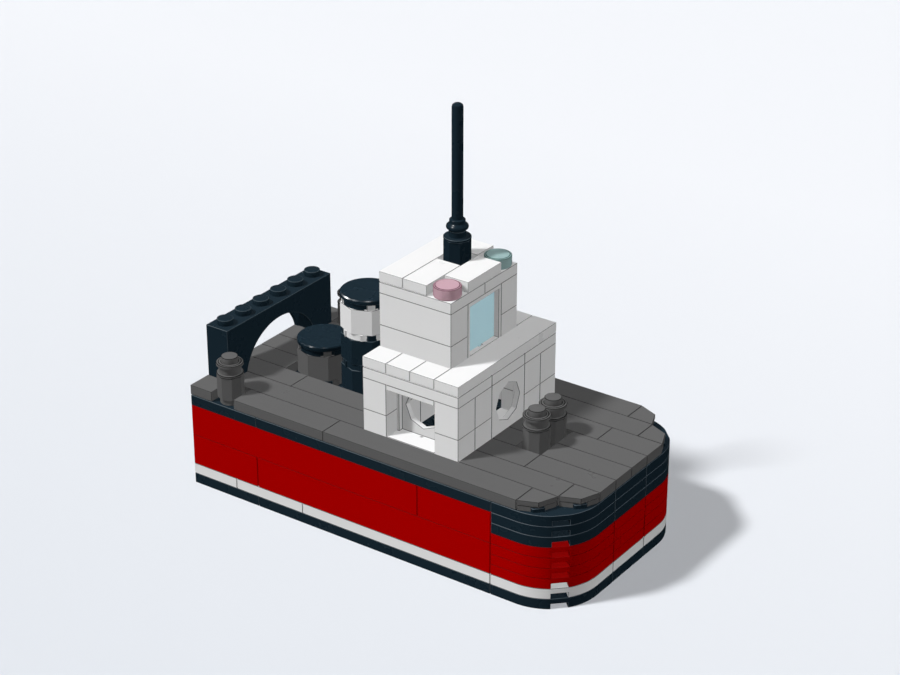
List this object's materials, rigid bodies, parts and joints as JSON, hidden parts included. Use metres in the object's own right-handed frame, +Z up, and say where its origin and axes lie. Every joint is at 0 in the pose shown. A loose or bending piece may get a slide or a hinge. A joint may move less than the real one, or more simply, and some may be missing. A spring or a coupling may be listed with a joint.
{
  "type": "toy brick tugboat",
  "caption": "Toy harbour tugboat of interlocking plastic bricks: flat-bottomed red hull, grey deck, white cabin with portholes, two funnels, towing arch and a whip mast.",
  "frame": {"origin": "middle of the flat underside, at the centre of the bounding box", "axes": "+X to the bow, +Y to port, +Z up"},
  "size_m": [0.1278, 0.0638, 0.1216],
  "materials": {
    "black_abs": "moulded gloss, blue-black",
    "red_abs": "moulded gloss red",
    "white_abs": "moulded gloss white",
    "dark_grey_abs": "moulded gloss dark grey",
    "blue_window_plastic": "clear light-blue moulded plastic",
    "pink_lamp_plastic": "clear pink moulded plastic",
    "green_lamp_plastic": "clear green moulded plastic"
  },
  "bodies": {
    "hull": {"bitt_bow_port": "dark_grey_abs", "bitt_bow_starboard": "dark_grey_abs", "bollard_stern_port": "dark_grey_abs", "bollard_stern_starboard": "dark_grey_abs", "bow_base_plates": "black_abs", "bow_black_plates": "black_abs", "bow_red_plates": "red_abs", "bow_stripe_plates": "white_abs", "cabin_corner_port": "white_abs", "cabin_corner_starboard": "white_abs", "cabin_roof_plates": "white_abs", "cabin_roof_tile_bow": "white_abs", "cabin_roof_tiles_port": "white_abs", "cabin_roof_tiles_starboard": "white_abs", "cabin_wall_stern": "white_abs", "deck_plate_aft": "black_abs", "deck_plate_main": "black_abs", "deck_tile_stern_port": "dark_grey_abs", "deck_tile_stern_starboard": "dark_grey_abs", "deck_tiles_aft": "dark_grey_abs", "deck_tiles_fore": "dark_grey_abs", "deck_tiles_port": "dark_grey_abs", "deck_tiles_starboard": "dark_grey_abs", "hull_base_aft": "black_abs", "hull_base_main": "black_abs", "hull_lower_course_aft": "red_abs", "hull_lower_course_main": "red_abs", "hull_stripe_aft": "white_abs", "hull_stripe_main": "white_abs", "hull_stripe_stern": "white_abs", "hull_upper_course_fore": "red_abs", "hull_upper_course_main": "red_abs", "lamp_green": "green_lamp_plastic", "lamp_red": "pink_lamp_plastic", "mast_base": "black_abs", "porthole_bow": "white_abs", "porthole_port": "white_abs", "porthole_starboard": "white_abs", "short_funnel_brick": "dark_grey_abs", "short_funnel_cap": "black_abs", "tall_funnel_band": "white_abs", "tall_funnel_cap": "black_abs", "tall_funnel_lower_brick": "black_abs", "tall_funnel_upper_brick": "black_abs", "towing_arch": "black_abs", "wheelhouse_roof_plates": "white_abs", "wheelhouse_roof_tiles": "white_abs", "wheelhouse_wall_port": "white_abs", "wheelhouse_wall_starboard": "white_abs", "wheelhouse_wall_stern": "white_abs", "wheelhouse_window_frame": "white_abs", "wheelhouse_window_glass": "blue_window_plastic"},
    "mast": {"mast": "black_abs"}
  },
  "joints": [
    {"name": "mast_swivel", "type": "hinge", "parent": "hull", "child": "mast", "pos_m": [0.004, 0.004, 0.0832], "axis": [0, 0, 1], "continuous": true}
  ]
}
